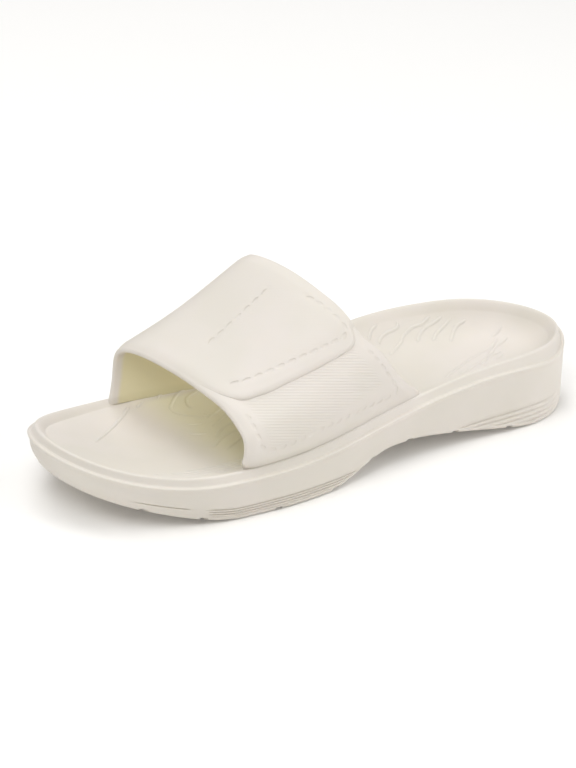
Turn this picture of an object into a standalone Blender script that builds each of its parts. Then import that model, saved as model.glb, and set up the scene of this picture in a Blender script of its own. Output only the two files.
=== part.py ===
"""Sport slide sandal, left foot: a moulded foam sole and the broad strap that is its upper.

Metres, +Z up, floor at Z = 0.  The toe points to -Y, the wearer's left (outer) side is +X, and the
origin is under the middle of the sole's outline.
"""
import functools
import math
from collections import namedtuple

import bmesh
import bpy
import numpy as np
from mathutils import Matrix

MM = 0.001

# Driving dimensions of the last
LENGTH = 285 * MM
BALL_WIDTH = 104.4 * MM
HEEL_HEIGHT = 38.5 * MM
BALL_HEIGHT = 24.2 * MM
TOE_SPRING = 16 * MM
ARCH_RISE = 10.5 * MM
INNER_RISE = 3.8 * MM
INSTEP_HEIGHT = 90 * MM

# Sole
HEEL_BED = 24.5 * MM
BALL_BED = 19.5 * MM
BEAD_DROP = 4.3 * MM
BEAD_PROUD = 3.4 * MM
RIM_WIDTH = 4.8 * MM
UNDERCUT = 3.5 * MM
EDGE_ROUND = 1.8 * MM
EDGE_WIDTH = 3 * MM
NECK_DROP = 3.2 * MM
HEEL_BEVEL = 4.5 * MM
GROOVE_DEPTH = 0.8 * MM
GROOVE_PITCH = 1.4 * MM
TREAD_DEPTH = 1.8 * MM
TREAD_WIDTH = 4 * MM

# Upper
WALL = 4.4 * MM
EDGE_BULGE = 1.9 * MM
FLAP_STEP = 1.6 * MM
FLAP_BEVEL = 0.8 * MM
ARCH_LENGTH = 2.1 * BALL_WIDTH
SEAT_GAP = 0.3 * MM
SEAT_FALL = 1.2 * MM
CREST_SHOWN = 1.2 * MM
STRAP_INSET = BEAD_PROUD + CREST_SHOWN

# Shares of the length at which the underside leaves the floor, and how fast
HEEL_BEVEL_END = 0.085
HEEL_BEVEL_POWER = 1.5
TOE_BREAK = 0.76
TOE_POWER = 1.3

# Stretches of the length that rise from nothing at the start and are gone again at the end: the
# arch, with how much of its rise is straight, and the side grooves beside heel and ball, of which
# the top one runs on to the toe
Span = namedtuple("Span", "start full fall end")
ARCH_SPAN = Span(0.13, 0.38, 0.43, 0.585)
INNER_SPAN = Span(0.14, 0.36, 0.43, 0.64)
ARCH_RAMP = 0.75
HEEL_GROOVES = Span(0.04, 0.12, 0.27, 0.31)
BALL_GROOVES = Span(0.46, 0.51, 0.80, 0.83)
TOP_GROOVE = Span(0.46, 0.51, 0.90, 0.94)

# How far in from heel and toe the footbed's middle line ends, as shares of the ball width
SPINE_HEEL = 0.36
SPINE_TOE = 0.42

COLUMNS = 96
SIDE_GROOVES = 4
FIRST_GROOVE = 0.5
GROOVE_SHARE = 0.3
CROWDING = 0.06
ARCH_RINGS = 44
FLAP_RING = 15
ACROSS = 17

# The sole's outline: share of the length from the heel, half widths as shares of the ball's
Station = namedtuple("Station", "along lateral medial")
OUTLINE = [
    Station(0.03, 0.44, 0.44),
    Station(0.08, 0.65, 0.69),
    Station(0.15, 0.75, 0.83),
    Station(0.25, 0.76, 0.87),
    Station(0.35, 0.78, 0.84),
    Station(0.45, 0.83, 0.81),
    Station(0.55, 0.93, 0.85),
    Station(0.65, 1.00, 0.93),
    Station(0.73, 1.00, 0.99),
    Station(0.81, 0.96, 1.00),
    Station(0.88, 0.83, 0.95),
    Station(0.94, 0.62, 0.82),
    Station(0.98, 0.34, 0.60),
]
HEEL_SHIFT = 0.03
TOE_SHIFT = -0.15

# Side heights: shares of heel height, ball height and toe spring that make the rim, the drop from
# rim to bead, shares of heel bed and ball bed that make the footbed, the wall's undercut, how
# hollow the neck is, how far the rim leans into the footbed, and the side grooves' spacing
Height = namedtuple("Height", "along heel ball toe bead heel_bed ball_bed undercut hollow lean pitch")
HEIGHTS = [
    Height(0.00, 1.00, 0.00, 0.00, 1.10, 1.00, 0.00, 0.0, 0.2, 1.00, 1.9),
    Height(0.05, 1.00, 0.00, 0.00, 1.75, 1.00, 0.00, 0.1, 0.2, 1.00, 1.9),
    Height(0.15, 1.00, 0.00, 0.00, 1.45, 1.00, 0.00, 0.5, 0.5, 1.00, 1.9),
    Height(0.30, 0.79, 0.21, 0.00, 1.08, 0.96, 0.04, 0.7, 1.0, 0.80, 1.5),
    Height(0.45, 0.40, 0.60, 0.00, 1.02, 0.70, 0.30, 0.7, 1.0, 0.35, 1.0),
    Height(0.60, 0.11, 0.89, 0.00, 1.02, 0.20, 0.80, 0.7, 1.0, 0.35, 1.0),
    Height(0.75, 0.00, 1.00, 0.00, 0.95, 0.00, 1.00, 1.0, 1.0, 0.35, 1.0),
    Height(0.90, 0.00, 1.00, 0.14, 0.92, 0.00, 1.14, 1.3, 1.0, 0.70, 0.8),
    Height(1.00, 0.00, 1.00, 0.49, 0.85, 0.00, 1.42, 1.2, 1.0, 0.80, 0.5),
]

# Profile from the neck under the bead to the rim: in from the outline by shares of the bead's
# standing out and of the rim's width, up by a share of the way from bead to rim, and down by
# shares of the neck's drop and of the rim's width
Lip = namedtuple("Lip", "proud width rise neck sag")
LIP = [
    Lip(0.30, 0.00, 0.00, 1.00, 0.00),
    Lip(0.26, 0.00, 0.00, 0.72, 0.00),
    Lip(0.12, 0.00, 0.00, 0.40, 0.00),
    Lip(0.00, 0.00, 0.00, 0.14, 0.00),
    Lip(0.04, 0.00, 0.06, 0.00, 0.00),
    Lip(0.22, 0.00, 0.12, 0.00, 0.00),
    Lip(0.46, 0.00, 0.13, 0.00, 0.00),
    Lip(0.64, 0.00, 0.26, 0.00, 0.00),
    Lip(0.82, 0.00, 0.60, 0.00, 0.00),
    Lip(0.95, 0.00, 0.88, 0.00, 0.00),
    Lip(1.00, 0.10, 0.99, 0.00, 0.00),
    Lip(1.00, 0.24, 1.00, 0.00, 0.01),
    Lip(1.00, 0.44, 1.00, 0.00, 0.16),
    Lip(1.00, 0.70, 1.00, 0.00, 0.48),
    Lip(1.00, 1.00, 1.00, 0.00, 0.95),
]

# Rings from the rim's inner edge to the footbed's middle line: share of the way in, and of the fall
Bed = namedtuple("Bed", "way fall")
BED_RINGS = [Bed(0.07, 0.24), Bed(0.15, 0.46), Bed(0.28, 0.72), Bed(0.50, 0.92), Bed(1.00, 1.00)]

# Rings of the underside from its middle line outwards, and of the rounded edge that follows:
# shares of the edge's width inwards and of its height
UNDERSIDE_RINGS = [1.0, 0.6, 0.25, 0.0]
Edging = namedtuple("Edging", "inward rise")
EDGE_RINGS = [Edging(0.3, 0.35), Edging(0.0, 1.0)]

# The strap's arch from the outer foot to the inner foot: x as a share of the half width between
# the rims, z as a share of the height from rim to crown
Arch = namedtuple("Arch", "place x z")
ARCH = [
    Arch(0.00, 1.00, 0.00),
    Arch(0.08, 1.07, 0.14),
    Arch(0.16, 1.04, 0.40),
    Arch(0.26, 0.90, 0.60),
    Arch(0.37, 0.65, 0.78),
    Arch(0.48, 0.31, 0.88),
    Arch(0.60, -0.12, 0.97),
    Arch(0.71, -0.56, 1.02),
    Arch(0.80, -0.88, 0.99),
    Arch(0.88, -1.07, 0.75),
    Arch(0.94, -1.07, 0.35),
    Arch(1.00, -1.00, 0.00),
]

# Crown of the strap along the shoe, as shares of the instep height
Crown = namedtuple("Crown", "along height")
CROWN = [
    Crown(0.34, 1.11),
    Crown(0.46, 1.12),
    Crown(0.55, 1.00),
    Crown(0.66, 0.767),
    Crown(0.75, 0.617),
    Crown(0.83, 0.52),
]

# Where the strap's front edge and back edge cross the shoe, as shares of the length
Edge = namedtuple("Edge", "place front back")
EDGES = [
    Edge(0.00, 0.742, 0.379),
    Edge(0.05, 0.748, 0.399),
    Edge(0.12, 0.746, 0.441),
    Edge(0.30, 0.744, 0.509),
    Edge(0.50, 0.750, 0.533),
    Edge(0.70, 0.763, 0.553),
    Edge(0.85, 0.772, 0.544),
    Edge(0.94, 0.775, 0.490),
    Edge(1.00, 0.788, 0.437),
]

# The flap's edge on the strap: share of the way from front to back edge, place round the arch
Flap = namedtuple("Flap", "across place")
FLAP = [
    Flap(0.00, 0.515),
    Flap(0.02, 0.456),
    Flap(0.06, 0.399),
    Flap(0.104, 0.367),
    Flap(0.184, 0.346),
    Flap(0.27, 0.330),
    Flap(0.39, 0.315),
    Flap(0.50, 0.299),
    Flap(0.72, 0.266),
    Flap(0.90, 0.248),
    Flap(1.00, 0.246),
]
FLAP_BACK = 0.975
FLAP_FADE = 0.16

# Share of the way from the front edge over which the flap's step grows, and the places round the
# arch at which the ledge behind the flap's corner starts to fade, and how long it takes
FLAP_MERGE = 0.12
CORNER_TOP = 0.27
CORNER_FADE = 0.10

# Mean way from the strap's front edge to its back edge, as a share of the length
STRAP_REACH = 0.3

# Tread grooves across the underside: share of the length
TREAD = [0.905, 0.818, 0.683, 0.565, 0.48, 0.397, 0.297, 0.182]


def natural(knots, values):
    """Smooth curve through a short table, with free ends."""
    knots = np.asarray(knots, float)
    values = np.asarray(values, float)
    count = len(knots)
    step = np.diff(knots)
    slope = np.diff(values) / step
    matrix = np.eye(count)
    side = np.zeros(count)
    for i in range(1, count - 1):
        matrix[i, i - 1:i + 2] = step[i - 1], 2 * (step[i - 1] + step[i]), step[i]
        side[i] = 6 * (slope[i] - slope[i - 1])
    bend = np.linalg.solve(matrix, side)

    def curve(at):
        at = np.clip(at, knots[0], knots[-1])
        i = np.clip(np.searchsorted(knots, at, side="right") - 1, 0, count - 2)
        past = at - knots[i]
        left = step[i] - past
        cubic = (bend[i] * left ** 3 + bend[i + 1] * past ** 3) / (6 * step[i])
        start = (values[i] / step[i] - bend[i] * step[i] / 6) * left
        return cubic + start + (values[i + 1] / step[i] - bend[i + 1] * step[i] / 6) * past

    return curve


def closed(knots, values):
    """Smooth curve through a table that goes once round, for angles in radians."""
    turn = 2 * math.pi
    knots = np.asarray(knots)
    values = np.asarray(values)
    wound = np.concatenate([knots[-4:] - turn, knots, knots[:4] + turn])
    curve = natural(wound, np.concatenate([values[-4:], values, values[:4]]))
    return lambda at: curve(np.mod(at, turn))


def angle_at(along):
    """Angle of the outline's point on the outer side at a share of the length."""
    return math.acos(1 - 2 * along)


def outline_curve():
    """Half width of the outline against the angle, 0 at the heel and pi at the toe."""
    angles = [0.0]
    widths = [HEEL_SHIFT]
    for row in OUTLINE:
        angles.append(angle_at(row.along))
        widths.append(row.lateral)
    angles.append(math.pi)
    widths.append(TOE_SHIFT)
    for row in reversed(OUTLINE):
        angles.append(2 * math.pi - angle_at(row.along))
        widths.append(-row.medial)
    return closed(angles, np.array(widths) * BALL_WIDTH / 2)


HALF_WIDTH = outline_curve()
FINE = np.linspace(0, 2 * math.pi, 1441)
CENTRE = (HALF_WIDTH(FINE).max() + HALF_WIDTH(FINE).min()) / 2

ALONG = [row.along for row in HEIGHTS]
RIM = natural(
    ALONG, [HEEL_HEIGHT * row.heel + BALL_HEIGHT * row.ball + TOE_SPRING * row.toe for row in HEIGHTS])
DROP = natural(ALONG, [BEAD_DROP * row.bead for row in HEIGHTS])
BED = natural(ALONG, [HEEL_BED * row.heel_bed + BALL_BED * row.ball_bed for row in HEIGHTS])
TUCK = natural(ALONG, [UNDERCUT * row.undercut for row in HEIGHTS])
HOLLOW = natural(ALONG, [row.hollow for row in HEIGHTS])
LEAN = natural(ALONG, [row.lean for row in HEIGHTS])
PITCH = natural(ALONG, [GROOVE_PITCH * row.pitch for row in HEIGHTS])

PLACES = [row.place for row in ARCH]
ARCH_X = natural(PLACES, [row.x for row in ARCH])
ARCH_Z = natural(PLACES, [row.z for row in ARCH])
CROWN_HEIGHT = natural([row.along for row in CROWN], [INSTEP_HEIGHT * row.height for row in CROWN])
FRONT = natural([row.place for row in EDGES], [row.front for row in EDGES])
BACK = natural([row.place for row in EDGES], [row.back for row in EDGES])
FLAP_PLACE = natural([row.across for row in FLAP], [row.place for row in FLAP])


def share_at(y):
    """Share of the length, from the heel, at a place along Y."""
    return 0.5 - y / LENGTH


def ease(value):
    """Smooth step from 0 to 1."""
    value = np.clip(value, 0, 1)
    return value * value * (3 - 2 * value)


def unit(vectors):
    """Vectors scaled to length 1."""
    return vectors / np.linalg.norm(vectors, axis=-1, keepdims=True)


def bead_line(angle):
    """Plan points of the outline, which is the bead, at angles round it."""
    return np.stack([HALF_WIDTH(angle) - CENTRE, LENGTH / 2 * np.cos(angle)], -1)


def outline(angle, inset):
    """Plan points of the outline moved in by an inset."""
    step = 0.002
    ahead = unit(bead_line(angle + step) - bead_line(angle - step))
    inward = np.stack([ahead[..., 1], -ahead[..., 0]], -1)
    return bead_line(angle) + inward * np.broadcast_to(inset, angle.shape)[..., None]


def hump(along, span):
    """1 in the middle of a span of the length, 0 outside it, eased between."""
    return ease((along - span.start) / (span.full - span.start)) * (
        1 - ease((along - span.fall) / (span.end - span.fall)))


def arch_lift(along):
    """Height of the arch's hollow over the floor, on a nearly straight ramp from the heel."""
    way = np.clip((along - ARCH_SPAN.start) / (ARCH_SPAN.full - ARCH_SPAN.start), 0, 1)
    climb = ARCH_RAMP * way + (1 - ARCH_RAMP) * ease(way)
    return ARCH_RISE * climb * (1 - ease((along - ARCH_SPAN.fall) / (ARCH_SPAN.end - ARCH_SPAN.fall)))


def underside(y):
    """Height of the underside: flat under heel and ball, raised at the arch and the toe."""
    along = share_at(y)
    bevel = HEEL_BEVEL * np.clip(1 - along / HEEL_BEVEL_END, 0, 1) ** HEEL_BEVEL_POWER
    spring = TOE_SPRING * np.clip((along - TOE_BREAK) / (1 - TOE_BREAK), 0, 1) ** TOE_POWER
    return bevel + arch_lift(along) + spring


def middle_line(angle):
    """Plan points on the middle line that the rings of underside and footbed shrink to."""
    low = -LENGTH / 2 + SPINE_TOE * BALL_WIDTH
    high = LENGTH / 2 - SPINE_HEEL * BALL_WIDTH
    y = np.clip(LENGTH / 2 * np.cos(angle), low, high)
    turn = np.arccos(2 * y / LENGTH)
    x = (HALF_WIDTH(turn) + HALF_WIDTH(-turn)) / 2 - CENTRE
    return np.stack([x, y], -1)


def underside_rings(angle, tuck, spine):
    """Rings from the underside's middle line out to its rounded edge."""
    foot = outline(angle, tuck + EDGE_WIDTH)
    rings = []
    for share in UNDERSIDE_RINGS:
        points = foot + (spine - foot) * share
        rings.append(np.column_stack([points, underside(points[:, 1])]))
    low = underside(outline(angle, tuck)[:, 1])
    for row in EDGE_RINGS:
        points = outline(angle, tuck + EDGE_WIDTH * row.inward)
        rings.append(np.column_stack([points, low + EDGE_ROUND * row.rise]))
    return rings


def wall_rings(angle, tuck, low, top):
    """Rings up the wall: each side groove is an edge, a bottom and an edge."""
    along = share_at(LENGTH / 2 * np.cos(angle))
    neck = BEAD_PROUD * LIP[0].proud * HOLLOW(along)
    wall = top - low
    pitch = np.minimum(PITCH(along), wall / (SIDE_GROOVES + 2))
    lift = arch_lift(along)
    flank = GROOVE_DEPTH * ease(4 * np.abs(np.sin(angle)))
    rings = []
    for number in range(SIDE_GROOVES):
        ball_span = TOP_GROOVE if number == SIDE_GROOVES - 1 else BALL_GROOVES
        depth = flank * (hump(along, HEEL_GROOVES) + hump(along, ball_span))
        for part in (-1, 0, 1):
            rise = pitch * (number + FIRST_GROOVE + part * GROOVE_SHARE)
            crowded = pitch * CROWDING * (3 * number + part + 2)
            share = np.maximum(rise - lift, crowded) / wall
            cut = depth * ease((rise - lift) / GROOVE_PITCH) * (part == 0)
            inset = neck + (tuck - neck) * (1 - share) ** 2
            rings.append(np.column_stack([outline(angle, inset + cut), low + share * wall]))
    return rings


def crest(angle):
    """Height of the rim's crest at angles round the outline, which is more beside the inner arch."""
    along = share_at(LENGTH / 2 * np.cos(angle))
    return RIM(along) + INNER_RISE * hump(along, INNER_SPAN) * (np.sin(angle) < 0)


def sole_rings():
    """Rings of the sole from the underside's middle line, round the wall, to the footbed's."""
    angle = np.linspace(0, 2 * math.pi, COLUMNS, endpoint=False)
    along = share_at(LENGTH / 2 * np.cos(angle))
    rim = crest(angle)
    bead = rim - DROP(along)
    tuck = TUCK(along)
    spine = middle_line(angle)
    low = underside(outline(angle, tuck)[:, 1]) + EDGE_ROUND
    rings = underside_rings(angle, tuck, spine) + wall_rings(angle, tuck, low, bead - NECK_DROP)
    for row in LIP:
        proud = row.proud * (HOLLOW(along) if row.neck else 1)
        points = outline(angle, BEAD_PROUD * proud + RIM_WIDTH * row.width)
        fall = NECK_DROP * row.neck + RIM_WIDTH * row.sag * LEAN(along)
        rings.append(np.column_stack([points, bead + (rim - bead) * row.rise - fall]))
    lip = rings[-1]
    for row in BED_RINGS:
        points = lip[:, :2] + (spine - lip[:, :2]) * row.way
        bed = BED(share_at(points[:, 1]))
        rings.append(np.column_stack([points, lip[:, 2] + (bed - lip[:, 2]) * row.fall]))
    return rings


@functools.lru_cache
def rim_side(side, inset):
    """Rim on the outer (+1) or inner (-1) side, as places along Y with half widths and heights."""
    angle = FINE[1:len(FINE) // 2] * side
    points = outline(angle, inset)
    order = np.argsort(points[:, 1])
    return points[order, 1], points[order, 0], crest(angle)[order]


def on_rim(y, side, inset):
    """Points level with the rim's crest, at places along Y and an inset from the outline."""
    places, widths, heights = rim_side(side, inset)
    return np.stack([np.interp(y, places, widths), y, np.interp(y, places, heights) + SEAT_GAP], -1)


def strap_surface(place, across):
    """Outer surface of the strap, with no step: places round the arch, shares front to back."""
    front = FRONT(place)
    along = front + (BACK(place) - front) * across
    y = (0.5 - along) * LENGTH
    outer = on_rim(y, 1, STRAP_INSET)
    inner = on_rim(y, -1, STRAP_INSET)
    share = ARCH_X(place)
    x = np.where(share > 0, share * outer[..., 0], -share * inner[..., 0])
    base = outer[..., 2] + (inner[..., 2] - outer[..., 2]) * place
    return np.stack([x, y, base + ARCH_Z(place) * (CROWN_HEIGHT(along) - base)], -1)


def strap_frame(place, across):
    """Outward normals and front-to-back directions of the strap's surface."""
    step = 0.001
    ahead = strap_surface(np.clip(place + step, 0, 1), across)
    behind = strap_surface(np.clip(place - step, 0, 1), across)
    back_way = strap_surface(place, across + step) - strap_surface(place, across - step)
    return unit(np.cross(back_way, ahead - behind)), unit(back_way)


def wall_ring(outer, inner, back_way):
    """Closed ring of a wall: outer face, round back edge, inner face, round front edge."""
    turns = np.array([1, 2, 3]) * math.pi / 4
    share = ((1 - np.cos(turns)) / 2)[:, None]
    bulge = (EDGE_BULGE * np.sin(turns))[:, None]
    back = outer[-1] + (inner[-1] - outer[-1]) * share + back_way[-1] * bulge
    front = inner[0] + (outer[0] - inner[0]) * share - back_way[0] * bulge
    return np.concatenate([outer, back, inner[::-1], front])


def foot_ring(place, across, side):
    """Ring of the strap's foot, which leans with the rim from its crest towards the footbed."""
    y = strap_surface(place, across)[:, 1]
    back_way = np.tile([0.0, 1.0, 0.0], (len(y), 1))
    inner = on_rim(y, side, STRAP_INSET + WALL) - np.array([0, 0, SEAT_FALL])
    return wall_ring(on_rim(y, side, STRAP_INSET), inner, back_way)


def strap_ring(place, across, on_flap):
    """Ring of the strap's wall at places round the arch; the near layer dips under the flap."""
    normal, back_way = strap_frame(place, across)
    point = strap_surface(place, across)
    dip = FLAP_STEP * ease((place - FLAP_PLACE(across) + FLAP_FADE) / FLAP_FADE)
    dip = dip * ease((across + FLAP_MERGE / 4) / FLAP_MERGE)
    if on_flap:
        dip = dip * (across > FLAP_BACK) * (1 - ease((place - CORNER_TOP) / CORNER_FADE))
    outer = point - normal * dip[:, None]
    return wall_ring(outer, point - normal * WALL, back_way)


def strap_rings():
    """Rings of the strap from the outer foot over the arch to the inner foot."""
    steps = np.linspace(0, 1, ACROSS - 2)
    bevel = FLAP_BEVEL / 2 / (STRAP_REACH * LENGTH)
    across = np.sort(np.append(steps, [FLAP_BACK - bevel, FLAP_BACK + bevel]))
    edge = FLAP_PLACE(across)
    rings = [foot_ring(np.zeros(ACROSS), across, 1)]
    for number in range(1, FLAP_RING + 1):
        rings.append(strap_ring(edge * number / FLAP_RING, across, False))
    upper_rings = ARCH_RINGS - FLAP_RING
    start = edge + FLAP_BEVEL / ARCH_LENGTH
    for number in range(upper_rings):
        rings.append(strap_ring(start + (1 - start) * number / upper_rings, across, True))
    rings.append(foot_ring(np.ones(ACROSS), across, -1))
    return rings


def loft(mesh, rings):
    """Join closed rings of equal count with faces, and return the rings' vertices."""
    made = [[mesh.verts.new(point) for point in ring] for ring in rings]
    for low, high in zip(made, made[1:]):
        for i in range(len(low)):
            j = (i + 1) % len(low)
            mesh.faces.new((low[i], low[j], high[j], high[i]))
    return made


def foot_faces(mesh, ring):
    """Close a foot of the strap: quads across the wall, and a small cap at each rounded edge."""
    outer = ring[:ACROSS]
    inner = ring[ACROSS + 3:2 * ACROSS + 3][::-1]
    for i in range(ACROSS - 1):
        mesh.faces.new((outer[i], outer[i + 1], inner[i + 1], inner[i]))
    mesh.faces.new([outer[-1]] + ring[ACROSS:ACROSS + 3] + [inner[-1]])
    mesh.faces.new([inner[0]] + ring[2 * ACROSS + 3:] + [outer[0]])


def finish_piece(name, mesh, material, sharp_angle):
    """Turn a bmesh into a named object of the slide with outward faces and its material."""
    bmesh.ops.remove_doubles(mesh, verts=mesh.verts, dist=0.01 * MM)
    bmesh.ops.recalc_face_normals(mesh, faces=mesh.faces)
    data = bpy.data.meshes.new(name)
    mesh.to_mesh(data)
    mesh.free()
    data.shade_smooth()
    data.set_sharp_from_angle(angle=math.radians(sharp_angle))
    data.materials.append(material)
    return bpy.data.objects.new(name, data)


def foam(name, colour, roughness):
    """Moulded foam: one pale colour, matt, no metal."""
    material = bpy.data.materials.new(name)
    material.use_nodes = True
    shader = material.node_tree.nodes["Principled BSDF"]
    shader.inputs["Base Color"].default_value = (*colour, 1)
    shader.inputs["Roughness"].default_value = roughness
    shader.inputs["Metallic"].default_value = 0
    return material


def tread_cutters():
    """Bars that cut the tread grooves across the underside, between the lugs."""
    mesh = bmesh.new()
    depth = 2 * TREAD_DEPTH
    for along in TREAD:
        y = (0.5 - along) * LENGTH
        slope = math.atan2(underside(y + MM) - underside(y - MM), 2 * MM)
        bar = bmesh.ops.create_cube(mesh, size=1)["verts"]
        bmesh.ops.scale(mesh, vec=(1.2 * BALL_WIDTH, TREAD_WIDTH, depth), verts=bar)
        turn = Matrix.Rotation(slope, 3, "X")
        bmesh.ops.rotate(mesh, matrix=turn, verts=bar)
        bmesh.ops.translate(mesh, vec=(0, y, float(underside(y))), verts=bar)
    data = bpy.data.meshes.new("tread_cutters")
    mesh.to_mesh(data)
    mesh.free()
    return bpy.data.objects.new("tread_cutters", data)


def build_sole(collection, cutters):
    """The sole: one moulding with footbed, rim, bead, grooved wall and tread lugs."""
    mesh = bmesh.new()
    loft(mesh, sole_rings())
    sole = finish_piece("sole", mesh, foam("sole_foam", (0.80, 0.76, 0.67), 0.55), 40)
    collection.objects.link(sole)
    bars = tread_cutters()
    cutters.objects.link(bars)
    bars.hide_render = True
    bars.display_type = "WIRE"
    cut = sole.modifiers.new("tread", "BOOLEAN")
    cut.operation = "DIFFERENCE"
    cut.solver = "EXACT"
    cut.object = bars


def build_upper(collection):
    """The upper: one hollow strap with its wall, flap step and rounded edges."""
    mesh = bmesh.new()
    rings = loft(mesh, strap_rings())
    foot_faces(mesh, rings[0])
    foot_faces(mesh, rings[-1])
    upper = finish_piece("upper", mesh, foam("upper_foam", (0.82, 0.78, 0.70), 0.55), 50)
    collection.objects.link(upper)


def main():
    """Clear the scene and build the slide."""
    for item in list(bpy.data.objects):
        bpy.data.objects.remove(item, do_unlink=True)
    slide = bpy.data.collections.new("sport_slide")
    cutters = bpy.data.collections.new("cutters")
    bpy.context.scene.collection.children.link(slide)
    bpy.context.scene.collection.children.link(cutters)
    build_sole(slide, cutters)
    build_upper(slide)


main()
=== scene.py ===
"""Looks of a left sport slide sandal: one pale moulded foam for the sole and for its broad strap.

Metres, +Z up, the floor at Z = 0.  The toe points to -Y and the wearer's left (outer) side is +X.
"""
import logging
import math
from collections.abc import Callable
from dataclasses import dataclass
from enum import Enum
from typing import Any, NamedTuple

import bmesh
import bpy
import numpy as np
from mathutils import Matrix, Vector
from mathutils.bvhtree import BVHTree
from mathutils.kdtree import KDTree


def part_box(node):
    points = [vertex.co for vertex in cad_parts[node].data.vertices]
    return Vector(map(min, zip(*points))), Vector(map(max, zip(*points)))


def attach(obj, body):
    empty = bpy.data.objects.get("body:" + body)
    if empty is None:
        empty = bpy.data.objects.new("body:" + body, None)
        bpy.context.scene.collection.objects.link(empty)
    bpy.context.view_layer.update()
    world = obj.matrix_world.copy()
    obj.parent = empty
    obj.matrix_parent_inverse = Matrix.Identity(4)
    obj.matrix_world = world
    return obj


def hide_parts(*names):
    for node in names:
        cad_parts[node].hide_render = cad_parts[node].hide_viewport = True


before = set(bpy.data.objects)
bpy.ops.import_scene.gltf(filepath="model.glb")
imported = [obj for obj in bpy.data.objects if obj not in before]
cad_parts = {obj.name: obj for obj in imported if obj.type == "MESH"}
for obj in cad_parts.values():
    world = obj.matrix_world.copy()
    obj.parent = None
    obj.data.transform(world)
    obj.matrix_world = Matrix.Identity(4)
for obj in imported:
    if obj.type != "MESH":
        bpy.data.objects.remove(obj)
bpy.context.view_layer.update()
LOG = logging.getLogger("slide")
MM = 0.001
Curve = Callable[[np.ndarray], np.ndarray]
Row = tuple[tuple[float, float], ...]


class Span(NamedTuple):
    """Stretch of the length that rises from nothing at its start and is gone again at its end."""

    start: float
    full: float
    fall: float
    end: float


class Side(Enum):
    """Side of the shoe, as the sign of X."""

    OUTER = 1
    INNER = -1


class Station(NamedTuple):
    """Row of the outline: share of the length from the heel, half widths as shares of the ball's."""

    along: float
    lateral: float
    medial: float


class Height(NamedTuple):
    """Row of side heights, as shares of the sizes that make rim, bead, footbed, undercut, pitch."""

    along: float
    heel: float
    ball: float
    toe: float
    bead: float
    heel_bed: float
    ball_bed: float
    undercut: float
    hollow: float
    lean: float
    pitch: float


class Lip(NamedTuple):
    """Point of the profile from the neck under the bead, over the bead, to the rim's inner edge."""

    proud: float
    width: float
    rise: float
    neck: float
    sag: float


class Arch(NamedTuple):
    """Point of the strap's arch: x as a share of the half width, z of the height to the crown."""

    place: float
    x: float
    z: float


class Edge(NamedTuple):
    """Where the strap's front and back edges cross the shoe, as shares of the length."""

    place: float
    front: float
    back: float


class Knot(NamedTuple):
    """Point on the strap: place round the arch, and share of the way from front to back edge."""

    place: float
    across: float


OUTLINE = [
    Station(0.03, 0.44, 0.44),
    Station(0.08, 0.65, 0.69),
    Station(0.15, 0.75, 0.83),
    Station(0.25, 0.76, 0.87),
    Station(0.35, 0.78, 0.84),
    Station(0.45, 0.83, 0.81),
    Station(0.55, 0.93, 0.85),
    Station(0.65, 1.00, 0.93),
    Station(0.73, 1.00, 0.99),
    Station(0.81, 0.96, 1.00),
    Station(0.88, 0.83, 0.95),
    Station(0.94, 0.62, 0.82),
    Station(0.98, 0.34, 0.60),
]
HEIGHTS = [
    Height(0.00, 1.00, 0.00, 0.00, 1.10, 1.00, 0.00, 0.0, 0.2, 1.00, 1.9),
    Height(0.05, 1.00, 0.00, 0.00, 1.75, 1.00, 0.00, 0.1, 0.2, 1.00, 1.9),
    Height(0.15, 1.00, 0.00, 0.00, 1.45, 1.00, 0.00, 0.5, 0.5, 1.00, 1.9),
    Height(0.30, 0.79, 0.21, 0.00, 1.08, 0.96, 0.04, 0.7, 1.0, 0.80, 1.5),
    Height(0.45, 0.40, 0.60, 0.00, 1.02, 0.70, 0.30, 0.7, 1.0, 0.35, 1.0),
    Height(0.60, 0.11, 0.89, 0.00, 1.02, 0.20, 0.80, 0.7, 1.0, 0.35, 1.0),
    Height(0.75, 0.00, 1.00, 0.00, 0.95, 0.00, 1.00, 1.0, 1.0, 0.35, 1.0),
    Height(0.90, 0.00, 1.00, 0.14, 0.92, 0.00, 1.14, 1.3, 1.0, 0.70, 0.8),
    Height(1.00, 0.00, 1.00, 0.49, 0.85, 0.00, 1.42, 1.2, 1.0, 0.80, 0.5),
]
LIP = [
    Lip(0.30, 0.00, 0.00, 1.00, 0.00),
    Lip(0.26, 0.00, 0.00, 0.72, 0.00),
    Lip(0.12, 0.00, 0.00, 0.40, 0.00),
    Lip(0.00, 0.00, 0.00, 0.14, 0.00),
    Lip(0.04, 0.00, 0.06, 0.00, 0.00),
    Lip(0.22, 0.00, 0.12, 0.00, 0.00),
    Lip(0.46, 0.00, 0.13, 0.00, 0.00),
    Lip(0.64, 0.00, 0.26, 0.00, 0.00),
    Lip(0.82, 0.00, 0.60, 0.00, 0.00),
    Lip(0.95, 0.00, 0.88, 0.00, 0.00),
    Lip(1.00, 0.10, 0.99, 0.00, 0.00),
    Lip(1.00, 0.24, 1.00, 0.00, 0.01),
    Lip(1.00, 0.44, 1.00, 0.00, 0.16),
    Lip(1.00, 0.70, 1.00, 0.00, 0.48),
    Lip(1.00, 1.00, 1.00, 0.00, 0.95),
]
ARCH = [
    Arch(0.00, 1.00, 0.00),
    Arch(0.08, 1.07, 0.14),
    Arch(0.16, 1.04, 0.40),
    Arch(0.26, 0.90, 0.60),
    Arch(0.37, 0.65, 0.78),
    Arch(0.48, 0.31, 0.88),
    Arch(0.60, -0.12, 0.97),
    Arch(0.71, -0.56, 1.02),
    Arch(0.80, -0.88, 0.99),
    Arch(0.88, -1.07, 0.75),
    Arch(0.94, -1.07, 0.35),
    Arch(1.00, -1.00, 0.00),
]
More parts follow.
